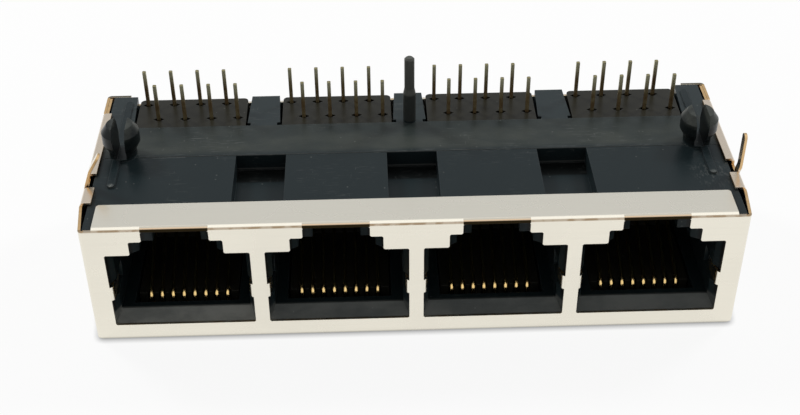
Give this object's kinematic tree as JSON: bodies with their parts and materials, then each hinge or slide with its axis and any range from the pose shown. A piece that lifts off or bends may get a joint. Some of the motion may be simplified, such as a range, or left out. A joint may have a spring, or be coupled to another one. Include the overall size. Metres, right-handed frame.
{
  "type": "four-port rj45 board jack",
  "caption": "Ganged shielded modular jack for a circuit board: side-entry plug openings in a row, latch side to the board, staggered solder tails, snap pegs and ground pins.",
  "frame": {"origin": "centre of the footprint on the surface the jack lies on, which touches its roof", "axes": "+X along the row of ports, -Y out of the port openings, +Z from the roof to the board side; the jack is turned over for use"},
  "size_m": [0.0594, 0.0218, 0.0196],
  "materials": {
    "housing_plastic": "fine matt moulding, slate black, lightly scuffed",
    "carrier_plastic": "matt moulding, slightly browner black than the housing",
    "contact_plating": "thin gold plating, duller and browner on the solder tails",
    "shield_plating": "satin nickel plating on brass sheet, bare brass at the cut edges"
  },
  "bodies": {
    "root": {"housing": "housing_plastic", "contact_carrier_1": "carrier_plastic", "contact_carrier_2": "carrier_plastic", "contact_carrier_3": "carrier_plastic", "contact_carrier_4": "carrier_plastic", "contact_1_1": "contact_plating", "contact_1_2": "contact_plating", "contact_1_3": "contact_plating", "contact_1_4": "contact_plating", "contact_1_5": "contact_plating", "contact_1_6": "contact_plating", "contact_1_7": "contact_plating", "contact_1_8": "contact_plating", "contact_2_1": "contact_plating", "contact_2_2": "contact_plating", "contact_2_3": "contact_plating", "contact_2_4": "contact_plating", "contact_2_5": "contact_plating", "contact_2_6": "contact_plating", "contact_2_7": "contact_plating", "contact_2_8": "contact_plating", "contact_3_1": "contact_plating", "contact_3_2": "contact_plating", "contact_3_3": "contact_plating", "contact_3_4": "contact_plating", "contact_3_5": "contact_plating", "contact_3_6": "contact_plating", "contact_3_7": "contact_plating", "contact_3_8": "contact_plating", "contact_4_1": "contact_plating", "contact_4_2": "contact_plating", "contact_4_3": "contact_plating", "contact_4_4": "contact_plating", "contact_4_5": "contact_plating", "contact_4_6": "contact_plating", "contact_4_7": "contact_plating", "contact_4_8": "contact_plating", "front_shield": "shield_plating", "rear_shield": "shield_plating"}
  },
  "joints": []
}
